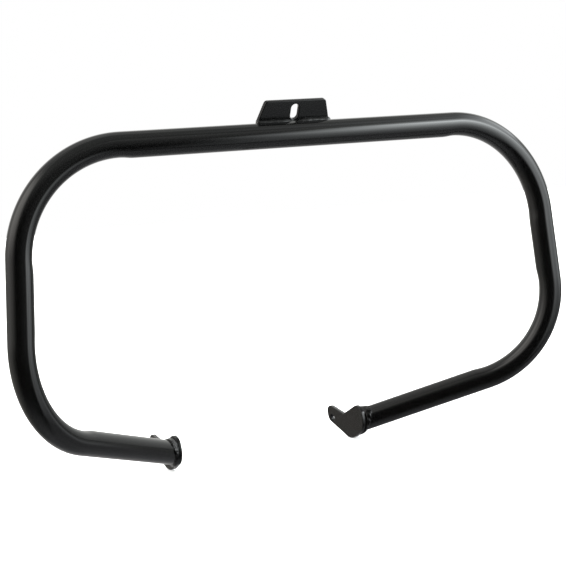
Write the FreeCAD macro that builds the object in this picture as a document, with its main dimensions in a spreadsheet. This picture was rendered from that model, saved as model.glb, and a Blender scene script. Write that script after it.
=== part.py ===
import FreeCAD, Part
import math
import os
import Sketcher
from FreeCAD import Placement, Rotation, Vector

# Engine guard for a motorcycle: one bent tube hoop, open at the bottom, with a slotted
# bracket plate on its crown and a drilled plate across each mitred leg end, all welded.
# Millimetres. +X to the rider's left, +Y to the rear, +Z up.
# Origin: centre of the bracket's slot, on the rear face that bolts to the frame.

doc = FreeCAD.newDocument("engine_guard")
sheet = doc.addObject("Spreadsheet::Sheet", "sizes")

driving_sizes = [
    ("tube_diameter", 31.75),
    ("tube_wall", 2.5),
    ("crown_half_width", 353.7),
    ("crown_bend_radius", 132.0),
    ("hip_half_width", 377.5),
    ("hip_drop", 319.5),
    ("hip_bend_radius", 127.0),
    ("leg_end_back", 151.5),
    ("leg_end_drop", 395.5),
    ("frame_gap", 270.0),
    ("bracket_lean", 27.0),
    ("bracket_thickness", 6.0),
    ("bracket_height", 28.0),
    ("bracket_top_half_width", 41.5),
    ("bracket_foot_half_width", 50.0),
    ("bracket_corner_radius", 4.5),
    ("bracket_edge_radius", 1.0),
    ("slot_width", 11.0),
    ("slot_length", 20.0),
    ("slot_rise", 13.2),
    ("plate_thickness", 6.0),
    ("toe_front", 23.1),
    ("toe_drop", 8.3),
    ("brow_front", 16.0),
    ("brow_height", 19.1),
    ("plate_crown_front", 1.6),
    ("plate_crown_height", 23.0),
    ("notch_back", 35.9),
    ("notch_height", 7.2),
    ("hole_back", 68.5),
    ("hole_drop", 1.8),
    ("hole_diameter", 10.5),
    ("ear_top_reach", 16.3),
    ("ear_top_rise", 20.1),
    ("ear_foot_reach", 11.6),
    ("ear_foot_fall", 3.7),
    ("heel_back", 17.6),
    ("heel_drop", 28.1),
    ("toe_radius", 20.0),
    ("heel_radius", 34.0),
    ("ear_foot_radius", 11.5),
    ("ear_top_radius", 9.4),
    ("notch_radius", 4.0),
    ("plate_crown_radius", 6.5),
    ("brow_radius", 12.5),
    ("plate_edge_radius", 0.8),
    ("end_weld_size", 3.2),
    ("end_weld_rim_radius", 2.4),
    ("bracket_weld_size", 5.0),
    ("rear_weld_recess", 1.0),
]
for row, (alias, value) in enumerate(driving_sizes, start=1):
    sheet.set("A%d" % row, alias)
    sheet.set("B%d" % row, str(value))
    sheet.setAlias("B%d" % row, alias)
doc.recompute()


def size(alias):
    return float(getattr(sheet, alias))


def bind(thing, rules):
    for path, rule in rules.items():
        thing.setExpression(path, rule)


# The bracket's rear face is tangent to the back of the tube, and the front edge of its
# foot stands on the tube, which fixes the tube's axis below the slot.
tube_radius = size("tube_diameter") / 2
lean = math.radians(size("bracket_lean"))
face_normal = Vector(0, math.cos(lean), math.sin(lean))
face_up = Vector(0, -math.sin(lean), math.cos(lean))
foot_height = math.sqrt(tube_radius ** 2 - (tube_radius - size("bracket_thickness")) ** 2)
crown_centre = face_normal * -tube_radius - face_up * (foot_height + size("slot_rise"))
bracket_turn = Rotation(Vector(1, 0, 0), size("bracket_lean"))
foot_height_rule = "sqrt(sizes.bracket_thickness * (sizes.tube_diameter - sizes.bracket_thickness))"


def hip_corner(side):
    return crown_centre + Vector(side * size("hip_half_width"), 0, -size("hip_drop"))


def leg_end(side):
    # Centre of the tube where its mitred end meets the outer face of the end plate.
    outer_face = size("frame_gap") / 2 + size("plate_thickness")
    return crown_centre + Vector(side * outer_face, size("leg_end_back"), -size("leg_end_drop"))


def leg_direction(side):
    return (leg_end(side) - hip_corner(side)).normalize()


def bend(before, corner, after, radius):
    # Start, middle and end of the arc that rounds a corner of the tube's centreline.
    back = (before - corner).normalize()
    forward = (after - corner).normalize()
    half_angle = back.getAngle(forward) / 2
    reach = radius / math.tan(half_angle)
    bisector = (back + forward).normalize()
    centre = corner + bisector * (radius / math.sin(half_angle))
    return corner + back * reach, centre - bisector * radius, corner + forward * reach


def tube_route():
    # Leg, hip, side, shoulder and crown, then the same mirrored, past both mitred ends.
    overrun = 2 * size("tube_diameter")
    halves = []
    for side in (-1, 1):
        end = leg_end(side) + leg_direction(side) * overrun
        shoulder = crown_centre + Vector(side * size("crown_half_width"), 0, 0)
        halves.append([end, hip_corner(side), shoulder])
    corners = halves[0] + halves[1][::-1]
    radii = [size("hip_bend_radius"), size("crown_bend_radius")]
    edges = []
    last = corners[0]
    for index, radius in enumerate(radii + radii[::-1], start=1):
        start, middle, finish = bend(corners[index - 1], corners[index], corners[index + 1], radius)
        edges.append(Part.LineSegment(last, start).toShape())
        edges.append(Part.Arc(start, middle, finish).toShape())
        last = finish
    edges.append(Part.LineSegment(last, corners[-1]).toShape())
    return Part.Wire(edges)


centreline = doc.addObject("Part::Feature", "tube_centreline")
centreline.Shape = tube_route()


def sweep_circle(name, spine, start, heading, radius_rule):
    circle = doc.addObject("Part::Circle", name + "_section")
    circle.setExpression("Radius", radius_rule)
    circle.Placement = Placement(start, Rotation(Vector(0, 0, 1), heading))
    sweep = doc.addObject("Part::Sweep", name)
    sweep.Sections = [circle]
    sweep.Spine = (spine, ["Edge%d" % (i + 1) for i in range(len(spine.Shape.Edges))])
    sweep.Solid = True
    return sweep


def cut(name, base, tool):
    result = doc.addObject("Part::Cut", name)
    result.Base = base
    result.Tool = tool
    return result


tube_start = leg_end(-1) + leg_direction(-1) * 2 * size("tube_diameter")
tube_outside = sweep_circle("tube_outside", centreline, tube_start, -leg_direction(-1),
                            "sizes.tube_diameter / 2")
tube_inside = sweep_circle("tube_inside", centreline, tube_start, -leg_direction(-1),
                           "sizes.tube_diameter / 2 - sizes.tube_wall")

# Between the outer faces of the end plates there is only the plates and the motorcycle's
# frame, so this block mitres the tube's ends and trims the end welds.
end_trim = doc.addObject("Part::Box", "end_trim")
bind(end_trim, {
    "Length": "sizes.frame_gap + 2 * sizes.plate_thickness",
    "Width": "8 * sizes.tube_diameter",
    "Height": "8 * sizes.tube_diameter",
})
trim_middle = Vector(0, 4 * size("tube_diameter"), 4 * size("tube_diameter"))
end_trim.Placement.Base = leg_end(-1) - trim_middle

tube_hollow = cut("tube_hollow", tube_outside, tube_inside)
guard_tube = cut("guard_tube", tube_hollow, end_trim)


def attached_sketch(body, name, role):
    sketch = body.newObject("Sketcher::SketchObject", name)
    plane = next(item for item in body.Origin.OriginFeatures if item.Role == role)
    sketch.AttachmentSupport = (plane, [""])
    sketch.MapMode = "FlatFace"
    return sketch


def hold(sketch, kind, place, rule):
    # A dimension that follows an expression and starts at the expression's value.
    value = float(sketch.evalExpression(rule))
    index = sketch.addConstraint(Sketcher.Constraint(kind, *place, value))
    sketch.setExpression("Constraints[%d]" % index, rule)


def corner_point(sketch, corner):
    return Vector(float(sketch.evalExpression(corner[0])), float(sketch.evalExpression(corner[1])), 0)


def add_outline(sketch, corners):
    # Closed run of straight lines, each corner held to the sketch's origin.
    count = len(corners)
    points = [corner_point(sketch, corner) for corner in corners]
    for index in range(count):
        sketch.addGeometry(Part.LineSegment(points[index], points[(index + 1) % count]), False)
    for index in range(count):
        sketch.addConstraint(Sketcher.Constraint("Coincident", index, 2, (index + 1) % count, 1))
    for index, (across, up) in enumerate(corners):
        hold(sketch, "DistanceX", (-1, 1, index, 1), across)
        hold(sketch, "DistanceY", (-1, 1, index, 1), up)


def pad_outline(body, name, role, corners, length_rule, reverse):
    sketch = attached_sketch(body, name + "_outline", role)
    add_outline(sketch, corners)
    pad = body.newObject("PartDesign::Pad", name + "_pad")
    pad.Profile = sketch
    pad.setExpression("Length", length_rule)
    pad.Reversed = reverse
    doc.recompute()
    return sketch


def pocket_through(body, name, sketch):
    before = body.Tip.Shape.Volume
    pocket = body.newObject("PartDesign::Pocket", name)
    pocket.Profile = sketch
    pocket.Type = "ThroughAll"
    pocket.Midplane = True
    doc.recompute()
    if pocket.Shape.Volume > before - 1:
        raise ValueError(name + " removes nothing")
    return pocket


def round_edges(body, name, edge_names, radius_rule):
    base = body.Tip
    fillet = body.newObject("PartDesign::Fillet", name)
    fillet.Base = (base, edge_names)
    fillet.setExpression("Radius", radius_rule)
    doc.recompute()
    return fillet


def edges_on(shape, wanted):
    return ["Edge%d" % number for number, edge in enumerate(shape.Edges, start=1)
            if all(wanted(vertex.Point) for vertex in edge.Vertexes)]


near = 1e-4

# The top bracket: a leaning trapezoid plate with a slot, drawn with the slot's centre at
# the origin and its rear face on the sketch plane.
bracket = doc.addObject("PartDesign::Body", "top_bracket")
bracket_foot = "-sizes.slot_rise"
bracket_top = "sizes.bracket_height - sizes.slot_rise"
bracket_corners = [
    ("-sizes.bracket_foot_half_width", bracket_foot),
    ("sizes.bracket_foot_half_width", bracket_foot),
    ("sizes.bracket_top_half_width", bracket_top),
    ("-sizes.bracket_top_half_width", bracket_top),
]
pad_outline(bracket, "bracket", "XZ_Plane", bracket_corners, "sizes.bracket_thickness", False)
top_level = size("bracket_height") - size("slot_rise")
top_corner = size("bracket_top_half_width")
round_edges(bracket, "bracket_corners",
            edges_on(bracket.Tip.Shape, lambda p: abs(p.z - top_level) < near and p.x > top_corner - near)
            + edges_on(bracket.Tip.Shape, lambda p: abs(p.z - top_level) < near and p.x < near - top_corner),
            "sizes.bracket_corner_radius")
front_face = -size("bracket_thickness")
foot_level = -size("slot_rise")
front_rim = [name for name in edges_on(bracket.Tip.Shape, lambda p: abs(p.y - front_face) < near)
             if name not in edges_on(bracket.Tip.Shape, lambda p: abs(p.z - foot_level) < near)]
round_edges(bracket, "bracket_front_rim", front_rim, "sizes.bracket_edge_radius")

slot_sketch = attached_sketch(bracket, "slot_outline", "XZ_Plane")
half_slot = size("slot_width") / 2
slot_arc_height = (size("slot_length") - size("slot_width")) / 2
upper = Vector(0, slot_arc_height, 0)
axis = Vector(0, 0, 1)
slot_sketch.addGeometry(Part.ArcOfCircle(Part.Circle(upper, axis, half_slot), 0, math.pi), False)
slot_sketch.addGeometry(Part.ArcOfCircle(Part.Circle(-upper, axis, half_slot), math.pi, 2 * math.pi), False)
slot_sketch.addGeometry(Part.LineSegment(Vector(-half_slot, slot_arc_height, 0),
                                         Vector(-half_slot, -slot_arc_height, 0)), False)
slot_sketch.addGeometry(Part.LineSegment(Vector(half_slot, -slot_arc_height, 0),
                                         Vector(half_slot, slot_arc_height, 0)), False)
for first, first_end, second, second_end in ((0, 2, 2, 1), (2, 2, 1, 1), (1, 2, 3, 1), (3, 2, 0, 1)):
    slot_sketch.addConstraint(Sketcher.Constraint("Tangent", first, first_end, second, second_end))
slot_sketch.addConstraint(Sketcher.Constraint("Vertical", 2))
slot_sketch.addConstraint(Sketcher.Constraint("Symmetric", 0, 3, 1, 3, -1, 1))
hold(slot_sketch, "Radius", (0,), "sizes.slot_width / 2")
hold(slot_sketch, "DistanceY", (1, 3, 0, 3), "sizes.slot_length - sizes.slot_width")
pocket_through(bracket, "bracket_slot", slot_sketch)
bracket.Placement = Placement(Vector(0, 0, 0), bracket_turn)


# An end plate, drawn about the centre of the tube's end on the plate's outer face. Its
# front is a lobe round the tube and its ear ends behind the hole.
hole_height = "-sizes.hole_drop"
plate_corners = {
    "toe": ("-sizes.toe_front", "-sizes.toe_drop"),
    "heel": ("sizes.heel_back", "-sizes.heel_drop"),
    "ear_foot": ("sizes.hole_back + sizes.ear_foot_reach", "-sizes.hole_drop - sizes.ear_foot_fall"),
    "ear_top": ("sizes.hole_back + sizes.ear_top_reach", "sizes.ear_top_rise - sizes.hole_drop"),
    "notch": ("sizes.notch_back", "sizes.notch_height"),
    "crown": ("-sizes.plate_crown_front", "sizes.plate_crown_height"),
    "brow": ("-sizes.brow_front", "sizes.brow_height"),
}
corner_radii = {
    "toe": "sizes.toe_radius",
    "heel": "sizes.heel_radius",
    "ear_foot": "sizes.ear_foot_radius",
    "ear_top": "sizes.ear_top_radius",
    "notch": "sizes.notch_radius",
    "crown": "sizes.plate_crown_radius",
    "brow": "sizes.brow_radius",
}


def end_plate(name, side):
    body = doc.addObject("PartDesign::Body", name)
    sketch = pad_outline(body, name, "YZ_Plane", list(plate_corners.values()),
                         "sizes.plate_thickness", side > 0)
    for corner, rule in corner_radii.items():
        spot = corner_point(sketch, plate_corners[corner])
        edge = edges_on(body.Tip.Shape, lambda p: abs(p.y - spot.x) < near and abs(p.z - spot.y) < near)
        round_edges(body, name + "_" + corner, edge, rule)
    inner_face = -side * size("plate_thickness")
    rim = edges_on(body.Tip.Shape, lambda p: abs(p.x - inner_face) < near)
    round_edges(body, name + "_inner_rim", rim, "sizes.plate_edge_radius")
    hole = attached_sketch(body, name + "_hole_outline", "YZ_Plane")
    centre = corner_point(hole, ("sizes.hole_back", hole_height))
    hole.addGeometry(Part.Circle(centre, axis, size("hole_diameter") / 2), False)
    hold(hole, "DistanceX", (-1, 1, 0, 3), "sizes.hole_back")
    hold(hole, "DistanceY", (-1, 1, 0, 3), hole_height)
    hold(hole, "Radius", (0,), "sizes.hole_diameter / 2")
    pocket_through(body, name + "_hole", hole)
    body.Placement.Base = leg_end(side)
    return body


left_end_plate = end_plate("left_end_plate", 1)
right_end_plate = end_plate("right_end_plate", -1)


# The weld round each mitred end is a collar on the tube, cut off square to the plate a
# weld's size from it and rounded over along its outer rim.
def end_weld(name, side):
    reach = 2 * size("tube_diameter")
    collar = doc.addObject("Part::Cylinder", name + "_collar")
    bind(collar, {
        "Radius": "sizes.tube_diameter / 2 + sizes.end_weld_size",
        "Height": "4 * sizes.tube_diameter",
    })
    run = leg_direction(side)
    collar.Placement = Placement(leg_end(side) - run * reach, Rotation(Vector(0, 0, 1), run))
    slab = doc.addObject("Part::Box", name + "_slab")
    bind(slab, {
        "Length": "sizes.end_weld_size",
        "Width": "4 * sizes.tube_diameter",
        "Height": "4 * sizes.tube_diameter",
    })
    slab_start = Vector(0 if side > 0 else -size("end_weld_size"), -reach, -reach)
    slab.Placement.Base = leg_end(side) + slab_start
    ring = doc.addObject("Part::Common", name + "_ring")
    ring.Base = collar
    ring.Tool = slab
    doc.recompute()
    rim = leg_end(side).x + side * size("end_weld_size")
    rounded = doc.addObject("Part::Fillet", name + "_rounded")
    rounded.Base = ring
    radius = size("end_weld_rim_radius")
    rounded.Edges = [(number, radius, radius) for number, edge in enumerate(ring.Shape.Edges, start=1)
                     if abs(edge.BoundBox.XMin - rim) < near and abs(edge.BoundBox.XMax - rim) < near]
    return cut(name, rounded, tube_outside)


left_end_weld = end_weld("left_end_weld", 1)
right_end_weld = end_weld("right_end_weld", -1)


# The bracket's rear weld fills the groove under its foot, just short of the rear face.
def in_bracket(across, through, up):
    return Placement(bracket_turn.multVec(Vector(across, through, up)), bracket_turn)


groove = doc.addObject("Part::Box", "rear_weld_block")
bind(groove, {
    "Length": "2 * sizes.bracket_foot_half_width",
    "Width": "sizes.bracket_thickness - sizes.rear_weld_recess",
    "Height": foot_height_rule,
})
groove.Placement = in_bracket(-size("bracket_foot_half_width"), front_face, foot_level - foot_height)
bracket_rear_weld = cut("bracket_rear_weld", groove, tube_outside)

# The front weld is a round bead along the foot's front edge, with a round end past each
# side of the plate.
bead_parts = []
bar = doc.addObject("Part::Cylinder", "front_weld_bar")
bind(bar, {"Radius": "sizes.bracket_weld_size", "Height": "2 * sizes.bracket_foot_half_width"})
bar.Placement = Placement(in_bracket(-size("bracket_foot_half_width"), front_face, foot_level).Base,
                          Rotation(Vector(0, 0, 1), Vector(1, 0, 0)))
bead_parts.append(bar)
for side, word in ((-1, "right"), (1, "left")):
    tip = doc.addObject("Part::Sphere", "front_weld_%s_end" % word)
    tip.setExpression("Radius", "sizes.bracket_weld_size")
    tip.Placement.Base = in_bracket(side * size("bracket_foot_half_width"), front_face, foot_level).Base
    bead_parts.append(tip)
bead = doc.addObject("Part::MultiFuse", "front_weld_bead")
bead.Shapes = bead_parts

slot_keep = doc.addObject("Part::Box", "slot_keep_clear")
bind(slot_keep, {
    "Length": "sizes.slot_width",
    "Width": "sizes.bracket_thickness",
    "Height": "sizes.slot_rise",
})
slot_keep.Placement = in_bracket(-half_slot, front_face, foot_level)
doc.recompute()
bead_off_tube = cut("bead_off_tube", bead, tube_outside)
bead_off_bracket = cut("bead_off_bracket", bead_off_tube, bracket)
bead_off_slot = cut("bead_off_slot", bead_off_bracket, slot_keep)
bracket_front_weld = cut("bracket_front_weld", bead_off_slot, bracket_rear_weld)

nodes = [guard_tube, bracket, left_end_plate, right_end_plate, bracket_front_weld,
         bracket_rear_weld, left_end_weld, right_end_weld]
doc.recompute()

for item in doc.Objects:
    if "Invalid" in item.State or "Error" in item.State:
        raise ValueError(item.Name + " did not recompute: " + str(item.State))

tube_area = math.pi * size("tube_wall") * (size("tube_diameter") - size("tube_wall"))
tube_ratio = tube_hollow.Shape.Volume / (tube_area * centreline.Shape.Length)
print("tube volume over section times length: %.6f" % tube_ratio)

os.makedirs("parts", exist_ok=True)
for node in nodes:
    if node.Shape.isNull() or not node.Shape.isValid():
        raise ValueError(node.Label + " has no valid shape")
    node.Shape.exportStep("parts/%s.step" % node.Label)
    box = node.Shape.BoundBox
    print("%-20s %d solid %10.1f mm3  X %.1f %.1f  Y %.1f %.1f  Z %.1f %.1f" % (
        node.Label, len(node.Shape.Solids), node.Shape.Volume,
        box.XMin, box.XMax, box.YMin, box.YMax, box.ZMin, box.ZMax))
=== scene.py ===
import math

import bmesh
import bpy
from mathutils import Matrix, Vector, noise


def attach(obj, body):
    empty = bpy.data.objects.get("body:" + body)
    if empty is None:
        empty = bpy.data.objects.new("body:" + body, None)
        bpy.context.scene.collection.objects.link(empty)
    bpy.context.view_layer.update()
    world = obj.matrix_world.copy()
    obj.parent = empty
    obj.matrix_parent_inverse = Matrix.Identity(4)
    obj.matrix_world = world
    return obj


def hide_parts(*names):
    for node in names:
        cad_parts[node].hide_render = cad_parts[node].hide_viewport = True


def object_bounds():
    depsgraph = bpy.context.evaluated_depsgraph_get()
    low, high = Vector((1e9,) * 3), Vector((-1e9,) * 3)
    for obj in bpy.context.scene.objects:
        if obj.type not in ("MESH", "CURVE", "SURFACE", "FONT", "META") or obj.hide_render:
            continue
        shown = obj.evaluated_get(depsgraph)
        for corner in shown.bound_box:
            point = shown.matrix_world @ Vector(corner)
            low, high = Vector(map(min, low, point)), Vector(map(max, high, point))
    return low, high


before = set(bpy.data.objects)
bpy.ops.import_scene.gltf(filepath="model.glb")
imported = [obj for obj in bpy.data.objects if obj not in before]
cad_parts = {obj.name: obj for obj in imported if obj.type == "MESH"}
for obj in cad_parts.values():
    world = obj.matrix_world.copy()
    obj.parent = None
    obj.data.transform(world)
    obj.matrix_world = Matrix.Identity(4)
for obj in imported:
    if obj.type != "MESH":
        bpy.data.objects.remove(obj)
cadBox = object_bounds()
scene = bpy.context.scene
print("frame loaded:", len(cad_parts), "solids")

# Metres, in the part's own frame: +X to the rider's left, +Y to the rear, +Z up.
# The origin is the middle of the bracket's slot, on its rear face.


def finishMesh(mesh, name, sharpDegrees):
    # Smooth shading, with edges kept sharp above an angle or where they are marked already.
    bmesh.ops.recalc_face_normals(mesh, faces=mesh.faces)
    data = bpy.data.meshes.new(name)
    mesh.to_mesh(data)
    mesh.free()
    if sharpDegrees is None:
        data.polygons.foreach_set("use_smooth", [True] * len(data.polygons))
    else:
        data.shade_smooth()
        data.set_sharp_from_angle(angle=math.radians(sharpDegrees))
    piece = bpy.data.objects.new(name, data)
    scene.collection.objects.link(piece)
    return piece


def joinRings(mesh, rings, closed):
    # quads between neighbouring rings, and back to the first one if the run is closed
    followers = rings[1:] + rings[:1] if closed else rings[1:]
    for first, second in zip(rings, followers):
        count = len(first)
        for k in range(count):
            mesh.faces.new([first[k], first[(k + 1) % count], second[(k + 1) % count], second[k]])


tube = {
    "radius": 0.015875,
    "wall": 0.0025,
    "crownCentre": (0.0, -0.00250904, -0.03004342),
    "crownHalfWidth": 0.3537,
    "shoulderRadius": 0.132,
    "hipHalfWidth": 0.3775,
    "hipDrop": 0.3195,
    "hipRadius": 0.127,
    "legEndBack": 0.1515,
    "legEndDrop": 0.3955,
    "plateOuterFace": 0.141,  # from the middle, where the mitred ends meet the plates
    "around": 72,             # faces round the tube
    "stepInBend": 0.003,
    "stepInRun": 0.012,
    "benderMark": 0.016,      # length over which a bend's flattening starts
    "flat": 0.04,             # share of the diameter lost in the bend's plane
}


def crownPoint(x, y, z):
    return Vector(tube["crownCentre"]) + Vector((x, y, z))


def legEnd(side):
    return crownPoint(side * tube["plateOuterFace"], tube["legEndBack"], -tube["legEndDrop"])


def hipCorner(side):
    return crownPoint(side * tube["hipHalfWidth"], 0, -tube["hipDrop"])


def bendAt(before, corner, after, radius):
    back = (before - corner).normalized()
    forward = (after - corner).normalized()
    half = back.angle(forward) / 2
    reach = radius / math.tan(half)
    bisector = (back + forward).normalized()
    centre = corner + bisector * (radius / math.sin(half))
    return {"start": corner + back * reach, "end": corner + forward * reach, "centre": centre,
            "radius": radius, "turn": math.pi - 2 * half, "inward": bisector}


def runStations(start, end, before, after):
    # Points along a straight run: place, direction, inward side and how far it is flattened.
    length = (end - start).length
    along = (end - start) / length
    mark = tube["benderMark"]
    nearEnd = [mark * k / 4 for k in range(5)]
    count = max(2, round((length - 2 * mark) / tube["stepInRun"]))
    spots = nearEnd + [mark + (length - 2 * mark) * k / count for k in range(1, count)]
    spots += [length - distance for distance in reversed(nearEnd)]
    stations = []
    for spot in spots:
        firstHalf = spot < length / 2
        bend = before if (firstHalf and before) or not after else after
        distance = spot if bend is before else length - spot
        ease = max(0.0, 1 - distance / mark)
        ease = ease * ease * (3 - 2 * ease)
        inward = bend["inward"]
        inward = (inward - along * inward.dot(along)).normalized()
        stations.append((start + along * spot, along.copy(), inward, tube["flat"] * ease))
    return stations


def bendStations(bend):
    spoke = bend["start"] - bend["centre"]
    axis = spoke.cross(bend["end"] - bend["centre"]).normalized()
    count = round(bend["radius"] * bend["turn"] / tube["stepInBend"])
    stations = []
    for k in range(1, count):
        here = Matrix.Rotation(bend["turn"] * k / count, 3, axis) @ spoke
        along = axis.cross(here).normalized()
        stations.append((bend["centre"] + here, along, -here.normalized(), tube["flat"]))
    return stations


def tubeStations():
    # from the right leg over the crown to the left leg
    corners = [legEnd(-1), hipCorner(-1), crownPoint(-tube["crownHalfWidth"], 0, 0),
               crownPoint(tube["crownHalfWidth"], 0, 0), hipCorner(1), legEnd(1)]
    radii = [tube["hipRadius"], tube["shoulderRadius"], tube["shoulderRadius"], tube["hipRadius"]]
    bends = [bendAt(*corners[i:i + 3], radii[i]) for i in range(4)]
    stations = runStations(corners[0], bends[0]["start"], None, bends[0])
    for i, bend in enumerate(bends):
        after = bends[i + 1] if i < 3 else None
        stations += bendStations(bend)
        stations += runStations(bend["end"], after["start"] if after else corners[5], bend, after)
    return stations


def buildTube():
    # Each ring is a circle whose side towards the bend's centre is pressed flatter.
    stations = tubeStations()
    around = tube["around"]
    last = len(stations) - 1
    mesh = bmesh.new()
    skins = []
    for radius in (tube["radius"], tube["radius"] - tube["wall"]):
        rings = []
        reference = stations[0][2]
        for index, (point, along, inward, flat) in enumerate(stations):
            reference = (reference - along * reference.dot(along)).normalized()
            sideways = along.cross(reference)
            ring = []
            for k in range(around):
                angle = 2 * math.pi * k / around
                out = reference * math.cos(angle) + sideways * math.sin(angle)
                towards = max(0.0, out.dot(inward))
                spot = point + out * radius - inward * (2 * flat * radius * towards * towards)
                if index in (0, last):
                    face = legEnd(-1 if index == 0 else 1).x
                    spot += along * ((face - spot.x) / along.x)
                ring.append(mesh.verts.new(spot))
            rings.append(ring)
        joinRings(mesh, rings, False)
        skins.append(rings)
    for end in (0, last):
        joinRings(mesh, [skins[0][end], skins[1][end]], False)
    return finishMesh(mesh, "bentTube", 40)


def roundedOutline(corners, steps=12):
    # corners: across, up and radius, anticlockwise; gives the outline with its corners rounded
    points = []
    count = len(corners)
    for i, (x, y, radius) in enumerate(corners):
        here = Vector((x, y))
        back = (Vector(corners[i - 1][:2]) - here).normalized()
        forward = (Vector(corners[(i + 1) % count][:2]) - here).normalized()
        half = math.acos(max(-1, min(1, back.dot(forward)))) / 2
        reach = radius / math.tan(half)
        centre = here + (back + forward).normalized() * (radius / math.sin(half))
        start = here + back * reach - centre
        end = here + forward * reach - centre
        turn = math.atan2(start.x * end.y - start.y * end.x, start.dot(end))
        for k in range(steps + 1):
            points.append(centre + Matrix.Rotation(turn * k / steps, 2) @ start)
    return points


def slotOutline(across, up, radius, straight, steps=24):
    # clockwise, so that the metal is on the left of the line as it is for an outer outline
    points = []
    for end in (1, -1):
        for k in range(steps + 1):
            angle = -math.pi * k / steps + (math.pi if end > 0 else 0)
            points.append(Vector((across + radius * math.cos(angle),
                                  up + end * straight / 2 + radius * math.sin(angle))))
    return [p for i, p in enumerate(points) if (p - points[i - 1]).length > 1e-6]


def platePiece(name, outline, openings, look, place):
    # A flat plate whose edges are rounded on both faces.
    half, edgeRound = look["thickness"] / 2, look["edgeRound"]
    arcSteps = 5
    profile = []
    for k in range(arcSteps + 1):
        angle = math.pi / 2 * k / arcSteps
        profile.append((edgeRound * (1 - math.sin(angle)), half - edgeRound * (1 - math.cos(angle))))
    profile = [(inset, -height) for inset, height in profile] + profile[::-1]
    mesh = bmesh.new()
    caps = ([], [])
    for loop in [outline] + openings:
        count = len(loop)
        normals = []
        for i, point in enumerate(loop):
            run = (loop[(i + 1) % count] - loop[i - 1]).normalized()
            normals.append(Vector((-run.y, run.x)))
        rings = [[mesh.verts.new((*(point + normal * inset), height))
                  for point, normal in zip(loop, normals)] for inset, height in profile]
        joinRings(mesh, rings, False)
        for cap, ring in zip(caps, (rings[0], rings[-1])):
            cap += [mesh.edges.get((ring[i - 1], ring[i])) for i in range(count)]
    for cap in caps:
        for edge in cap:
            edge.smooth = False
        bmesh.ops.triangle_fill(mesh, use_beauty=True, edges=cap)
    mesh.transform(place)
    return finishMesh(mesh, name, None)


endPlates = {
    "thickness": 0.006,
    "edgeRound": 0.0009,
    # across to the rear, up, corner radius; from the middle of the tube's end
    "toe": (-0.0231, -0.0083, 0.02),
    "heel": (0.0176, -0.0281, 0.034),
    "earFoot": (0.0801, -0.0055, 0.0115),
    "earTop": (0.0848, 0.0183, 0.0094),
    "notch": (0.0359, 0.0072, 0.004),
    "crown": (-0.0016, 0.023, 0.0065),
    "brow": (-0.016, 0.0191, 0.0125),
    "hole": (0.0685, -0.0018),
    "holeRadius": 0.00525,
}


def endPlate(name, side):
    corners = [endPlates[key] for key in ("toe", "heel", "earFoot", "earTop", "notch", "crown", "brow")]
    hole = slotOutline(*endPlates["hole"], endPlates["holeRadius"], 0.0)
    middle = legEnd(side) - Vector((side * endPlates["thickness"] / 2, 0, 0))
    place = Matrix(((0, 0, 1, middle.x), (1, 0, 0, middle.y), (0, 1, 0, middle.z), (0, 0, 0, 1)))
    return platePiece(name, roundedOutline(corners), [hole], endPlates, place)


bracket = {
    "lean": math.radians(27.0),
    "thickness": 0.006,
    "edgeRound": 0.0011,
    "height": 0.028,
    "topHalfWidth": 0.0415,
    "footHalfWidth": 0.05,
    "topCornerRadius": 0.0045,
    "footCornerRadius": 0.0016,
    "slotRise": 0.0132,        # from the foot to the middle of the slot
    "slotWidth": 0.011,
    "slotLength": 0.02,
}


def bracketPlace():
    # across is +X, up is along the leaning plate, the third axis points out of its front face
    lean = bracket["lean"]
    up = Vector((0, -math.sin(lean), math.cos(lean)))
    front = Vector((0, -math.cos(lean), -math.sin(lean)))
    centre = front * (bracket["thickness"] / 2)
    return Matrix(((1, up.x, front.x, centre.x), (0, up.y, front.y, centre.y),
                   (0, up.z, front.z, centre.z), (0, 0, 0, 1)))


def topBracket():
    foot = -bracket["slotRise"]
    top = foot + bracket["height"]
    corners = [(-bracket["footHalfWidth"], foot, bracket["footCornerRadius"]),
               (bracket["footHalfWidth"], foot, bracket["footCornerRadius"]),
               (bracket["topHalfWidth"], top, bracket["topCornerRadius"]),
               (-bracket["topHalfWidth"], top, bracket["topCornerRadius"])]
    slot = slotOutline(0, 0, bracket["slotWidth"] / 2, bracket["slotLength"] - bracket["slotWidth"])
    return platePiece("slottedBracket", roundedOutline(corners), [slot], bracket, bracketPlace())


def puddles(distance, pitch, seed):
    # Height along a hand-laid bead, about -1 to 1: uneven puddles over slower swells.
    swell = noise.noise(Vector((distance / (pitch * 2.6), seed, 0)))
    grain = noise.noise(Vector((distance / (pitch * 0.7), seed + 9, 0)))
    phase = (distance / pitch + 1.1 * swell) % 1.0
    puddle = math.sin(math.pi * phase) ** 0.6 * (1 - 0.35 * phase)
    return 0.8 * swell + 0.35 * grain + 0.6 * (puddle - 0.5)


endBead = {
    "out": 0.0031,        # how far it stands out from the tube at the plate
    "reachTop": 0.0115,   # how far it runs along the tube, on top and below
    "reachBelow": 0.0038,
    "hollow": 1.35,       # 1 is a round bead, 2 a flat one
    "pitch": 0.0042,
    "ripple": 0.0003,
    "lumps": 0.0009,
    "lumpScale": 250,
    "sink": 0.0006,       # how deep its back lies in the tube
    "steps": 280,
    "profileSteps": 20,
}


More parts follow.
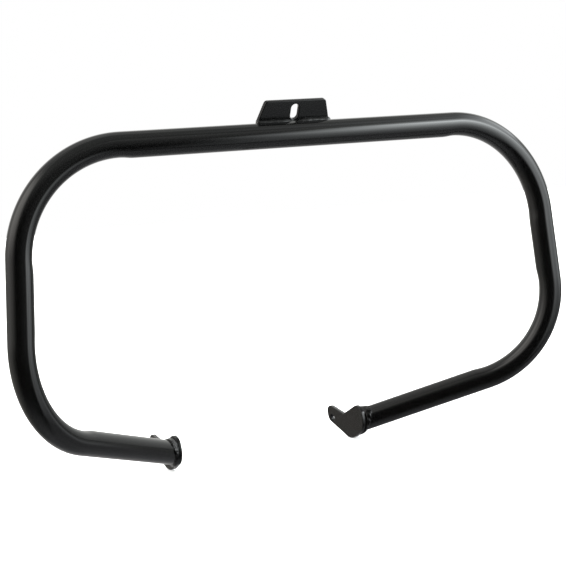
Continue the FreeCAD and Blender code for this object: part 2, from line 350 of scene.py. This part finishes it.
def endWeld(name, side):
    # A bead in the corner between the leg's mitred end and the plate's outer face.
    end = legEnd(side)
    run = (end - hipCorner(side)).normalized()
    across = run.cross(Vector((0, 0, 1))).normalized()
    upward = across.cross(run)
    steps, profileSteps = endBead["steps"], endBead["profileSteps"]
    girth = 2 * math.pi * tube["radius"]
    closing = 16              # the last steps lead the ripples back to the first ones
    seed = 3.0 + side

    def onLeg(out, lift, backOff):
        point = end + out * (tube["radius"] + lift)
        return point + run * ((end.x + side * backOff - point.x) / run.x)

    mesh = bmesh.new()
    rings = []
    for k in range(steps):
        angle = 2 * math.pi * k / steps
        out = across * math.cos(angle) + upward * math.sin(angle)
        fullness = (0.5 + 0.5 * out.z) ** 1.5
        reach = endBead["reachBelow"] + (endBead["reachTop"] - endBead["reachBelow"]) * fullness
        wave = puddles(girth * k / steps, endBead["pitch"], seed)
        blend = min(1.0, (steps - k) / closing)
        wave = wave * blend + puddles(0, endBead["pitch"], seed) * (1 - blend)
        ring = []
        for j in range(profileSteps + 1):
            sweep = math.pi / 2 * j / profileSteps
            lift = endBead["out"] * math.cos(sweep) ** endBead["hollow"]
            backOff = reach * math.sin(sweep) ** endBead["hollow"]
            place = out * (tube["radius"] + lift) + Vector((backOff, 0, seed * 0.1))
            lump = noise.noise(place * endBead["lumpScale"])
            extra = (endBead["ripple"] * wave + endBead["lumps"] * lump) * math.sin(2 * sweep) ** 0.7
            ring.append(mesh.verts.new(onLeg(out, lift + extra, backOff + 0.5 * extra)))
        ring.append(mesh.verts.new(onLeg(out, -endBead["sink"], reach)))
        ring.append(mesh.verts.new(onLeg(out, -endBead["sink"], 0)))
        rings.append(ring)
    joinRings(mesh, rings, True)
    return finishMesh(mesh, name, 80)


bracketBeads = {
    "frontSize": 0.0047,
    "rearSize": 0.0032,
    "frontOverhang": 0.002,   # past each side of the plate
    "rearOverhang": -0.001,
    "pitch": 0.011,
    "ripple": 0.00004,
    "lumps": 0.00012,
    "slotDip": 0.5,           # share by which the bead is lower in front of the slot
    "slotDipWidth": 0.0075,
    "blobPlace": 0.0015,      # a run of weld that sagged below the slot
    "blobWidth": 0.0035,
    "blobSize": 0.0012,
    "steps": 320,
    "around": 28,
}


def bracketWeld(name, front):
    # A bead in the corner between the bracket's foot and the tube.
    place = bracketPlace()
    half = bracket["footHalfWidth"] + bracketBeads["frontOverhang" if front else "rearOverhang"]
    size = bracketBeads["frontSize" if front else "rearSize"]
    face = bracket["thickness"] / 2 * (1 if front else -1)
    seed = 7.0 if front else 11.0
    steps, around = bracketBeads["steps"], bracketBeads["around"]
    mesh = bmesh.new()
    rings = []
    for k in range(steps + 1):
        x = -half + 2 * half * k / steps
        fromEnd = half - abs(x)
        ease = math.sqrt(max(0.0, 1 - max(0.0, 1 - fromEnd / size) ** 2))
        wave = puddles(x + 1, bracketBeads["pitch"], seed)
        dip = bracketBeads["slotDip"] * math.exp(-(x / bracketBeads["slotDipWidth"]) ** 2)
        blob = math.exp(-((x - bracketBeads["blobPlace"]) / bracketBeads["blobWidth"]) ** 2)
        ring = []
        for j in range(around):
            angle = 2 * math.pi * j / around
            up, out = math.sin(angle), math.cos(angle)
            lump = noise.noise(Vector((x * 130, up * 1.1, out * 1.1 + seed)))
            radius = size * 0.94 + bracketBeads["ripple"] * wave + bracketBeads["lumps"] * lump
            if front:
                radius += bracketBeads["blobSize"] * blob * max(0.0, out) ** 2
                up *= 1 - dip * max(0.0, up)
            radius = max(0.0002, ease * radius)
            local = Vector((x, -bracket["slotRise"] + up * radius, face + out * radius * (1 if front else -1)))
            ring.append(mesh.verts.new(place @ local))
        rings.append(ring)
    joinRings(mesh, rings, False)
    mesh.faces.new(rings[0])
    mesh.faces.new(rings[-1])
    return finishMesh(mesh, name, 80)


def powderCoatGroup():
    # Slow waves of a thick powder coat and the fine peel on top, as one normal.
    group = bpy.data.node_groups.new("powderCoatSurface", "ShaderNodeTree")
    face = group.interface
    for label in ("Peel Scale", "Peel Height", "Wave Scale", "Wave Height"):
        face.new_socket(name=label, in_out="INPUT", socket_type="NodeSocketFloat")
    face.new_socket(name="Normal", in_out="OUTPUT", socket_type="NodeSocketVector")
    face.new_socket(name="Cloud", in_out="OUTPUT", socket_type="NodeSocketFloat")
    nodes, links = group.nodes, group.links
    inside = nodes.new("NodeGroupInput")
    outside = nodes.new("NodeGroupOutput")
    place = nodes.new("ShaderNodeTexCoord")
    normal = None
    for label, detail, depth in (("Wave", 1.0, 0.001), ("Peel", 2.0, 0.0002)):
        pattern = nodes.new("ShaderNodeTexNoise")
        pattern.inputs["Detail"].default_value = detail
        links.new(place.outputs["Object"], pattern.inputs["Vector"])
        links.new(inside.outputs[label + " Scale"], pattern.inputs["Scale"])
        bump = nodes.new("ShaderNodeBump")
        bump.inputs["Distance"].default_value = depth
        links.new(inside.outputs[label + " Height"], bump.inputs["Strength"])
        links.new(pattern.outputs["Fac"], bump.inputs["Height"])
        if normal is not None:
            links.new(normal, bump.inputs["Normal"])
        else:
            links.new(pattern.outputs["Fac"], outside.inputs["Cloud"])
        normal = bump.outputs["Normal"]
    links.new(normal, outside.inputs["Normal"])
    return group


paints = {
    # colour, gloss level, roughness where the coat is clear and where it is cloudy, the coat's relief
    "tubePaint": {"colour": (0.0015, 0.0015, 0.0015), "gloss": 0.5, "rough": (0.05, 0.085),
                  "peel": 0.006, "peelScale": 900, "wave": 0.02, "waveScale": 45},
    "platePaint": {"colour": (0.002, 0.002, 0.002), "gloss": 0.37, "rough": (0.1, 0.15),
                  "peel": 0.015, "peelScale": 700, "wave": 0.03, "waveScale": 60},
    "bracketBeadPaint": {"colour": (0.0015, 0.0015, 0.0015), "gloss": 0.6, "rough": (0.06, 0.1),
                         "peel": 0.03, "peelScale": 900, "wave": 0.04, "waveScale": 120},
    "endBeadPaint": {"colour": (0.0015, 0.0015, 0.0015), "gloss": 0.3, "rough": (0.1, 0.18),
                     "peel": 0.06, "peelScale": 900, "wave": 0.05, "waveScale": 160},
}


def glossPaint(name, surface):
    look = paints[name]
    paint = bpy.data.materials.new(name)
    paint.use_nodes = True
    nodes, links = paint.node_tree.nodes, paint.node_tree.links
    shader = nodes["Principled BSDF"]
    shader.inputs["Base Color"].default_value = (*look["colour"], 1)
    shader.inputs["IOR"].default_value = 1.5
    shader.inputs["Specular IOR Level"].default_value = look["gloss"]
    flow = nodes.new("ShaderNodeGroup")
    flow.node_tree = surface
    flow.inputs["Peel Height"].default_value = look["peel"]
    flow.inputs["Peel Scale"].default_value = look["peelScale"]
    flow.inputs["Wave Height"].default_value = look["wave"]
    flow.inputs["Wave Scale"].default_value = look["waveScale"]
    rough = nodes.new("ShaderNodeMapRange")
    rough.inputs["From Min"].default_value = 0.3
    rough.inputs["From Max"].default_value = 0.7
    rough.inputs["To Min"].default_value = look["rough"][0]
    rough.inputs["To Max"].default_value = look["rough"][1]
    links.new(flow.outputs["Cloud"], rough.inputs["Value"])
    links.new(rough.outputs["Result"], shader.inputs["Roughness"])
    links.new(flow.outputs["Normal"], shader.inputs["Normal"])
    return paint


surface = powderCoatGroup()
coats = {name: glossPaint(name, surface) for name in paints}
print("paints made:", len(coats))

pieces = [
    (buildTube(), "guard_tube", "tubePaint"),
    (topBracket(), "top_bracket", "platePaint"),
    (endPlate("leftEndPlate", 1), "left_end_plate", "platePaint"),
    (endPlate("rightEndPlate", -1), "right_end_plate", "platePaint"),
    (bracketWeld("frontBracketBead", True), "bracket_front_weld", "bracketBeadPaint"),
    (bracketWeld("rearBracketBead", False), "bracket_rear_weld", "bracketBeadPaint"),
    (endWeld("leftEndBead", 1), "left_end_weld", "endBeadPaint"),
    (endWeld("rightEndBead", -1), "right_end_weld", "endBeadPaint"),
]
for piece, node, coat in pieces:
    piece.data.materials.append(coats[coat])
    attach(piece, "root")
    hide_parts(node)
    print(piece.name, len(piece.data.polygons), "faces")


def softPanelGroup():
    # A window of light in the studio's air, with soft sides, from azimuth and height in degrees.
    group = bpy.data.node_groups.new("softPanel", "ShaderNodeTree")
    face = group.interface
    face.new_socket(name="Direction", in_out="INPUT", socket_type="NodeSocketVector")
    for label in ("Centre", "Side In", "Side Out", "Low Out", "Low In", "High In", "High Out"):
        face.new_socket(name=label, in_out="INPUT", socket_type="NodeSocketFloat")
    face.new_socket(name="Mask", in_out="OUTPUT", socket_type="NodeSocketFloat")
    nodes, links = group.nodes, group.links
    inside = nodes.new("NodeGroupInput")
    outside = nodes.new("NodeGroupOutput")
    split = nodes.new("ShaderNodeSeparateXYZ")
    links.new(inside.outputs["Direction"], split.inputs[0])

    def maths(kind, *values):
        node = nodes.new("ShaderNodeMath")
        node.operation = kind
        for socket, value in zip(node.inputs, values):
            if isinstance(value, (int, float)):
                socket.default_value = value
            else:
                links.new(value, socket)
        return node.outputs[0]

    def edge(value, low, high):
        node = nodes.new("ShaderNodeMapRange")
        node.interpolation_type = "SMOOTHSTEP"
        links.new(value, node.inputs["Value"])
        links.new(inside.outputs[low], node.inputs["From Min"])
        links.new(inside.outputs[high], node.inputs["From Max"])
        return node.outputs["Result"]

    toFront = maths("MULTIPLY", split.outputs["Y"], -1.0)
    azimuth = maths("DEGREES", maths("ARCTAN2", split.outputs["X"], toFront))
    height = maths("DEGREES", maths("ARCSINE", split.outputs["Z"]))
    offset = maths("WRAP", maths("SUBTRACT", azimuth, inside.outputs["Centre"]), 180.0, -180.0)
    sides = maths("SUBTRACT", 1.0, edge(maths("ABSOLUTE", offset), "Side In", "Side Out"))
    ends = maths("SUBTRACT", edge(height, "Low Out", "Low In"), edge(height, "High In", "High Out"))
    links.new(maths("MULTIPLY", sides, ends), outside.inputs["Mask"])
    return group


# Azimuth is 0 in front of the guard and 90 at the rider's left; height is above the horizon.
airPanels = {
    # tint, strength, azimuth of the middle, half width where it is full and where it ends,
    # then the heights where it starts, is full, starts to fade and ends
    "rightBox": ((0.95, 1.0, 1.03), 3.09, 76.5, (10.1, 41.9), (20.9, 27.0, 27.0, 64.1)),
    "rightLow": ((0.95, 1.0, 1.03), 2.32, 70.9, (10.2, 14.6), (-26.3, 15.2, 19.1, 27.4)),
    "darkCard": ((1.0, 1.0, 1.0), -0.25, -153.0, (7.0, 14.0), (-18.0, -9.0, 2.0, 11.0)),
    "leftBack": ((1.0, 1.0, 0.97), 0.38, -142.9, (60.0, 83.0), (26.0, 52.9, 64.7, 129.3)),
    "leftWall": ((1.03, 1.0, 0.95), 0.53, -154.1, (38.2, 95.6), (-77.3, -6.5, 27.8, 55.9)),
    "leftStrip": ((1.03, 1.0, 0.95), 1.83, -95.5, (14.8, 49.9), (-12.7, 32.2, 44.2, 65.6)),
    "rightWall": ((0.97, 1.0, 0.98), 0.80, 108.2, (19.8, 135.5), (-30.3, 26.4, 37.0, 42.9)),
    "ceiling": ((0.97, 1.0, 0.97), 0.44, 19.3, (83.8, 158.5), (12.3, 57.3, 84.3, 96.3)),
    "backCeiling": ((0.98, 1.0, 0.97), 0.48, 173.8, (42.1, 91.2), (33.5, 76.7, 98.2, 110.2)),
    "ground": ((0.98, 1.0, 1.04), 0.40, 0.0, (180.0, 187.0), (-100.8, -96.8, -93.6, -35.0)),
    "groundRight": ((0.98, 1.0, 1.04), 0.29, 117.5, (64.8, 87.4), (-78.7, -45.8, -27.1, -6.1)),
}


def studioAir():
    # White to the camera; the panels are what lights the guard and shows in its gloss.
    world = bpy.data.worlds.new("studioAir")
    world.use_nodes = True
    nodes, links = world.node_tree.nodes, world.node_tree.links
    direction = nodes.new("ShaderNodeTexCoord").outputs["Generated"]
    panel = softPanelGroup()
    total = None
    for name, (tint, strength, centre, sides, heights) in airPanels.items():
        window = nodes.new("ShaderNodeGroup")
        window.node_tree = panel
        window.label = name
        links.new(direction, window.inputs["Direction"])
        for socket, value in zip(window.inputs[1:], (centre, *sides, *heights)):
            socket.default_value = value
        glow = nodes.new("ShaderNodeVectorMath")
        glow.operation = "SCALE"
        glow.inputs[0].default_value = [part * strength for part in tint]
        links.new(window.outputs["Mask"], glow.inputs["Scale"])
        if total is None:
            total = glow.outputs[0]
        else:
            add = nodes.new("ShaderNodeVectorMath")
            links.new(total, add.inputs[0])
            links.new(glow.outputs[0], add.inputs[1])
            total = add.outputs[0]
    lit = nodes["Background"]
    links.new(total, lit.inputs["Color"])
    seen = nodes.new("ShaderNodeBackground")
    seen.inputs["Color"].default_value = (1, 1, 1, 1)
    choose = nodes.new("ShaderNodeMixShader")
    links.new(nodes.new("ShaderNodeLightPath").outputs["Is Camera Ray"], choose.inputs["Fac"])
    links.new(lit.outputs[0], choose.inputs[1])
    links.new(seen.outputs[0], choose.inputs[2])
    links.new(choose.outputs[0], nodes["World Output"].inputs["Surface"])
    return world


scene.world = studioAir()
print("studio air ready:", len(airPanels), "panels")

softbox = {
    # an upright sheet of light in front of the guard's left half, brightest above the crown
    "left": 0.1,
    "right": 3.0,
    "bottom": -1.7,
    "top": 1.5,
    "inFront": 1.17,
    "radiance": 10.93,
    "tint": (0.95, 1.0, 1.01),
    "edgeStart": 0.315,        # where the light starts at its left side, and where it is full
    "edgeEnd": 0.801,
    "edgeLean": 0.611,          # how much further right the edge is for each metre above the slot
    "rightShare": 0.000,        # of the full light, at its right end
    # height and share of the full light
    "profile": ((-1.70, 0.000), (-1.17, 0.041), (-0.80, 0.068), (-0.42, 0.122), (-0.05, 0.268),
                (0.30, 0.543), (0.60, 1.000), (0.85, 0.504), (1.15, 0.237), (1.50, 0.000)),
}


def addSoftbox():
    width = softbox["right"] - softbox["left"]
    height = softbox["top"] - softbox["bottom"]
    lamp = bpy.data.lights.new("softbox", "AREA")
    lamp.shape = "RECTANGLE"
    lamp.size = width
    lamp.size_y = height
    lamp.color = softbox["tint"]
    lamp.energy = softbox["radiance"] * 4 * width * height
    lamp.use_nodes = True
    nodes, links = lamp.node_tree.nodes, lamp.node_tree.links
    split = nodes.new("ShaderNodeSeparateXYZ")
    links.new(nodes.new("ShaderNodeNewGeometry").outputs["Parametric"], split.inputs[0])

    def between(value, low, high, first, last, kind="LINEAR"):
        node = nodes.new("ShaderNodeMapRange")
        node.interpolation_type = kind
        links.new(value, node.inputs["Value"])
        for label, number in (("From Min", low), ("From Max", high), ("To Min", first), ("To Max", last)):
            node.inputs[label].default_value = number
        return node.outputs["Result"]

    def maths(kind, first, second):
        node = nodes.new("ShaderNodeMath")
        node.operation = kind
        links.new(first, node.inputs[0])
        links.new(second, node.inputs[1])
        return node.outputs[0]

    across = between(split.outputs["X"], 0, 1, softbox["left"], softbox["right"])
    up = between(split.outputs["Y"], 0, 1, softbox["bottom"], softbox["top"])
    lean = between(up, 0, softbox["top"], 0, softbox["edgeLean"] * softbox["top"])
    edge = between(maths("SUBTRACT", across, lean), softbox["edgeStart"], softbox["edgeEnd"], 0, 1, "SMOOTHSTEP")
    fall = between(across, softbox["edgeEnd"], softbox["right"], 1, softbox["rightShare"])
    ramp = nodes.new("ShaderNodeValToRGB")
    links.new(split.outputs["Y"], ramp.inputs["Fac"])
    stops = ramp.color_ramp.elements
    while len(stops) < len(softbox["profile"]):
        stops.new(0.5)
    for stop, (level, share) in zip(stops, softbox["profile"]):
        stop.position = (level - softbox["bottom"]) / height
        stop.color = (share, share, share, 1)
    glow = maths("MULTIPLY", maths("MULTIPLY", edge, fall), ramp.outputs["Color"])
    links.new(glow, nodes["Emission"].inputs["Strength"])
    holder = bpy.data.objects.new("softbox", lamp)
    middle = Vector(((softbox["left"] + softbox["right"]) / 2, -softbox["inFront"],
                     (softbox["bottom"] + softbox["top"]) / 2))
    turn = Matrix(((1, 0, 0), (0, 0, -1), (0, 1, 0)))
    holder.matrix_world = Matrix.Translation(middle) @ turn.to_4x4()
    holder.visible_camera = False
    scene.collection.objects.link(holder)


addSoftbox()

studioFloor = {
    "size": 60.0,
    "below": 0.0003,          # under the lowest point of the guard
    "paleness": 0.92,
    "lampSpread": math.radians(130.0),
    "lampPower": 6.5,
}


def pavedFloor():
    level = cadBox[0][2] - studioFloor["below"]
    mesh = bmesh.new()
    bmesh.ops.create_grid(mesh, x_segments=1, y_segments=1, size=studioFloor["size"] / 2)
    bmesh.ops.translate(mesh, verts=mesh.verts, vec=(0, 0, level))
    floor = finishMesh(mesh, "studioFloor", 30)
    paint = bpy.data.materials.new("paleFloor")
    paint.use_nodes = True
    shader = paint.node_tree.nodes["Principled BSDF"]
    shader.inputs["Base Color"].default_value = (*[studioFloor["paleness"]] * 3, 1)
    shader.inputs["Roughness"].default_value = 0.9
    shader.inputs["Specular IOR Level"].default_value = 0.1
    floor.data.materials.append(paint)
    floor.visible_glossy = False   # the guard's gloss shows the studio's light instead
    floor.visible_shadow = False


def floorLamp():
    # Light from all over the ceiling, for the floor: it isn't seen, and doesn't show in the gloss.
    lamp = bpy.data.lights.new("floorLamp", "SUN")
    lamp.angle = studioFloor["lampSpread"]
    lamp.energy = studioFloor["lampPower"]
    holder = bpy.data.objects.new("floorLamp", lamp)
    holder.visible_glossy = False
    holder.visible_camera = False
    scene.collection.objects.link(holder)


pavedFloor()
floorLamp()

photoCamera = {
    "place": (-0.79080, -1.51664, -0.10890),
    "right": (0.889152, -0.449546, -0.085532),
    "up": (0.103568, 0.015616, 0.994502),
    "sensor": 36,
    "lens": 87.51,
    "farthest": 200,
}


def addCamera():
    lens = bpy.data.cameras.new("photoCamera")
    lens.sensor_width = photoCamera["sensor"]
    lens.lens = photoCamera["lens"]
    lens.clip_end = photoCamera["farthest"]
    camera = bpy.data.objects.new("photoCamera", lens)
    right = Vector(photoCamera["right"]).normalized()
    back = right.cross(Vector(photoCamera["up"])).normalized()
    turn = Matrix((right, back.cross(right), back)).transposed()
    camera.matrix_world = Matrix.Translation(photoCamera["place"]) @ turn.to_4x4()
    scene.collection.objects.link(camera)
    return camera


scene.camera = addCamera()
scene.view_settings.view_transform = "Standard"
print("floor, lamp and camera ready")
